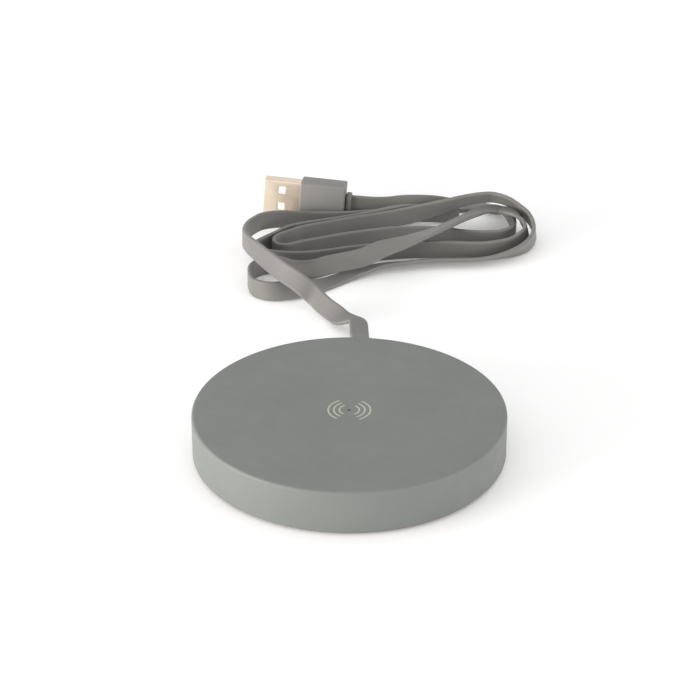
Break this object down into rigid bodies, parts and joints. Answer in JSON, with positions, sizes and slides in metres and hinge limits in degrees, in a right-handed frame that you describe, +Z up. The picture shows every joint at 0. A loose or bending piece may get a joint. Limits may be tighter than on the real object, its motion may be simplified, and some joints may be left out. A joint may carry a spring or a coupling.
{
  "type": "wireless charging pad",
  "caption": "Round flat wireless charging pad with a fixed flat cable, folded into a bundle, that ends in a USB plug.",
  "frame": {"origin": "centre of the pad's underside, on the surface it stands on", "axes": "+Z up through the pad's axis, +Y the way the cable leaves the pad, +X to the right seen from the front"},
  "size_m": [0.094, 0.2048, 0.0146],
  "materials": {
    "adhesive_film": "thin double-sided film",
    "base_plastic": "matte warm grey",
    "black_insulation": "black insulation",
    "board_laminate": "green solder mask",
    "capacitor_ceramic": "tan ceramic",
    "carrier_plastic": "moulded, dark grey",
    "chip_resin": "moulded black resin",
    "contact_gold": "gold plated",
    "copper_wire": "enamelled copper",
    "cord_jacket": "soft matte warm grey with fine lengthwise ribs",
    "ferrite": "matt grey-black ceramic",
    "foot_rubber": "matte, slightly ribbed",
    "gland_plastic": "soft matte grey",
    "inductor_ferrite": "grey ferrite",
    "led_body": "clear over white",
    "mark_ink": "light grey inlay",
    "pad_plastic": "fine matte warm grey",
    "plug_plastic": "soft matte warm grey",
    "plug_steel": "nickel plated, warm",
    "red_insulation": "red insulation",
    "relief_plastic": "soft matte grey",
    "screw_steel": "zinc plated",
    "smoked_lens": "smoked clear plastic",
    "tongue_plastic": "white moulded plastic"
  },
  "bodies": {
    "root": {"base_plate": "base_plastic", "case_screw_1": "screw_steel", "case_screw_2": "screw_steel", "case_screw_3": "screw_steel", "charging_coil": "copper_wire", "circuit_board": "board_laminate", "coil_adhesive": "adhesive_film", "coil_carrier": "carrier_plastic", "controller_chip": "chip_resin", "cord_bundle": "cord_jacket", "cord_gland": "gland_plastic", "cord_lead": "cord_jacket", "cord_tail": "cord_jacket", "ferrite_sheet": "ferrite", "foot_ring": "foot_rubber", "ground_wire": "black_insulation", "input_inductor": "inductor_ferrite", "light_pipe": "smoked_lens", "mark_arc_left_inner": "mark_ink", "mark_arc_left_middle": "mark_ink", "mark_arc_left_outer": "mark_ink", "mark_arc_right_inner": "mark_ink", "mark_arc_right_middle": "mark_ink", "mark_arc_right_outer": "mark_ink", "plug_contact_1": "contact_gold", "plug_contact_2": "contact_gold", "plug_contact_3": "contact_gold", "plug_contact_4": "contact_gold", "plug_grip": "plug_plastic", "plug_shell": "plug_steel", "plug_strain_relief": "relief_plastic", "plug_tongue": "tongue_plastic", "power_driver_chip": "chip_resin", "resonant_capacitor_1": "capacitor_ceramic", "resonant_capacitor_2": "capacitor_ceramic", "resonant_capacitor_3": "capacitor_ceramic", "resonant_capacitor_4": "capacitor_ceramic", "status_led": "led_body", "supply_wire": "red_insulation", "top_shell": "pad_plastic", "voltage_regulator": "chip_resin"}
  },
  "joints": []
}
